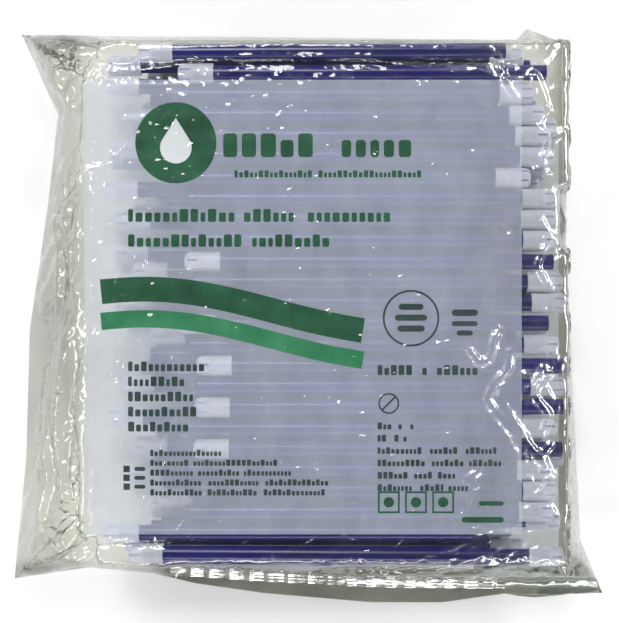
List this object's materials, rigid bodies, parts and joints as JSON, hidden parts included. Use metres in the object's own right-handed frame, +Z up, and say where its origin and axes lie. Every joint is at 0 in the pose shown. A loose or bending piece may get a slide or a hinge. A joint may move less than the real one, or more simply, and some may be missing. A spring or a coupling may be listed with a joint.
{
  "type": "bag of saliva ejectors",
  "caption": "Sealed clear film bag, flat and square, packed with layers of blue flexible tubes with soft white slotted tips, under a printed label sheet.",
  "frame": {"origin": "under the middle of the bag's outline, on the face that it rests on", "axes": "+Z up out of the resting face, +X along the ejectors towards the end where most tips are, +Y across them towards the far weld"},
  "size_m": [0.2488, 0.2428, 0.0316],
  "materials": {
    "film": "clear gloss film",
    "weld": "ribbed heat seal",
    "label": "matte, translucent",
    "leaflet": "matte",
    "tube": "clear dark blue",
    "wire": "satin",
    "tip": "soft frosted"
  },
  "bodies": {
    "bag": {"bag_lower_web": "film", "bag_upper_web": "film", "bag_near_weld": "weld", "bag_far_weld": "weld", "label_sheet": "label", "leaflet": "leaflet", "layer_1_tubes": "tube", "layer_1_wires": "wire", "layer_1_tips": "tip", "layer_2_tubes": "tube", "layer_2_wires": "wire", "layer_2_tips": "tip", "layer_3_tubes": "tube", "layer_3_wires": "wire", "layer_3_tips": "tip", "layer_4_tubes": "tube", "layer_4_wires": "wire", "layer_4_tips": "tip"},
    "ejector_01": {"ejector_01_tube": "tube", "ejector_01_wire": "wire", "ejector_01_tip": "tip"},
    "ejector_02": {"ejector_02_tube": "tube", "ejector_02_wire": "wire", "ejector_02_tip": "tip"},
    "ejector_03": {"ejector_03_tube": "tube", "ejector_03_wire": "wire", "ejector_03_tip": "tip"},
    "ejector_04": {"ejector_04_tube": "tube", "ejector_04_wire": "wire", "ejector_04_tip": "tip"},
    "ejector_05": {"ejector_05_tube": "tube", "ejector_05_wire": "wire", "ejector_05_tip": "tip"},
    "ejector_06": {"ejector_06_tube": "tube", "ejector_06_wire": "wire", "ejector_06_tip": "tip"},
    "ejector_07": {"ejector_07_tube": "tube", "ejector_07_wire": "wire", "ejector_07_tip": "tip"},
    "ejector_08": {"ejector_08_tube": "tube", "ejector_08_wire": "wire", "ejector_08_tip": "tip"},
    "ejector_09": {"ejector_09_tube": "tube", "ejector_09_wire": "wire", "ejector_09_tip": "tip"},
    "ejector_10": {"ejector_10_tube": "tube", "ejector_10_wire": "wire", "ejector_10_tip": "tip"},
    "ejector_11": {"ejector_11_tube": "tube", "ejector_11_wire": "wire", "ejector_11_tip": "tip"},
    "ejector_12": {"ejector_12_tube": "tube", "ejector_12_wire": "wire", "ejector_12_tip": "tip"}
  },
  "joints": [
    {"name": "ejector_01_slide", "type": "slide", "parent": "bag", "child": "ejector_01", "axis": [1, -0.0068, 0], "range_m": [-0.01069, 0.02891]},
    {"name": "ejector_02_slide", "type": "slide", "parent": "bag", "child": "ejector_02", "axis": [1, -0.0007, 0], "range_m": [-0.00119, 0.03841]},
    {"name": "ejector_03_slide", "type": "slide", "parent": "bag", "child": "ejector_03", "axis": [1, 0.0021, 0], "range_m": [-0.03445, 0.00515]},
    {"name": "ejector_04_slide", "type": "slide", "parent": "bag", "child": "ejector_04", "axis": [1, -0.0006, 0], "range_m": [-0.03762, 0.00198]},
    {"name": "ejector_05_slide", "type": "slide", "parent": "bag", "child": "ejector_05", "axis": [1, 0.0022, 0], "range_m": [-0.03802, 0.00158]},
    {"name": "ejector_06_slide", "type": "slide", "parent": "bag", "child": "ejector_06", "axis": [1, -0.0005, 0], "range_m": [-0.03881, 0.00079]},
    {"name": "ejector_07_slide", "type": "slide", "parent": "bag", "child": "ejector_07", "axis": [1, 0.0023, 0], "range_m": [-0.03208, 0.00752]},
    {"name": "ejector_08_slide", "type": "slide", "parent": "bag", "child": "ejector_08", "axis": [1, -0.0018, 0], "range_m": [-0.03406, 0.00554]},
    {"name": "ejector_09_slide", "type": "slide", "parent": "bag", "child": "ejector_09", "axis": [1, 0.0017, 0], "range_m": [-0.02495, 0.01465]},
    {"name": "ejector_10_slide", "type": "slide", "parent": "bag", "child": "ejector_10", "axis": [1, -0.0012, 0], "range_m": [-0.03287, 0.00673]},
    {"name": "ejector_11_slide", "type": "slide", "parent": "bag", "child": "ejector_11", "axis": [1, 0.0027, 0], "range_m": [-0.03128, 0.00832]},
    {"name": "ejector_12_slide", "type": "slide", "parent": "bag", "child": "ejector_12", "axis": [1, 0.0057, 0], "range_m": [-0.01465, 0.02495]}
  ]
}
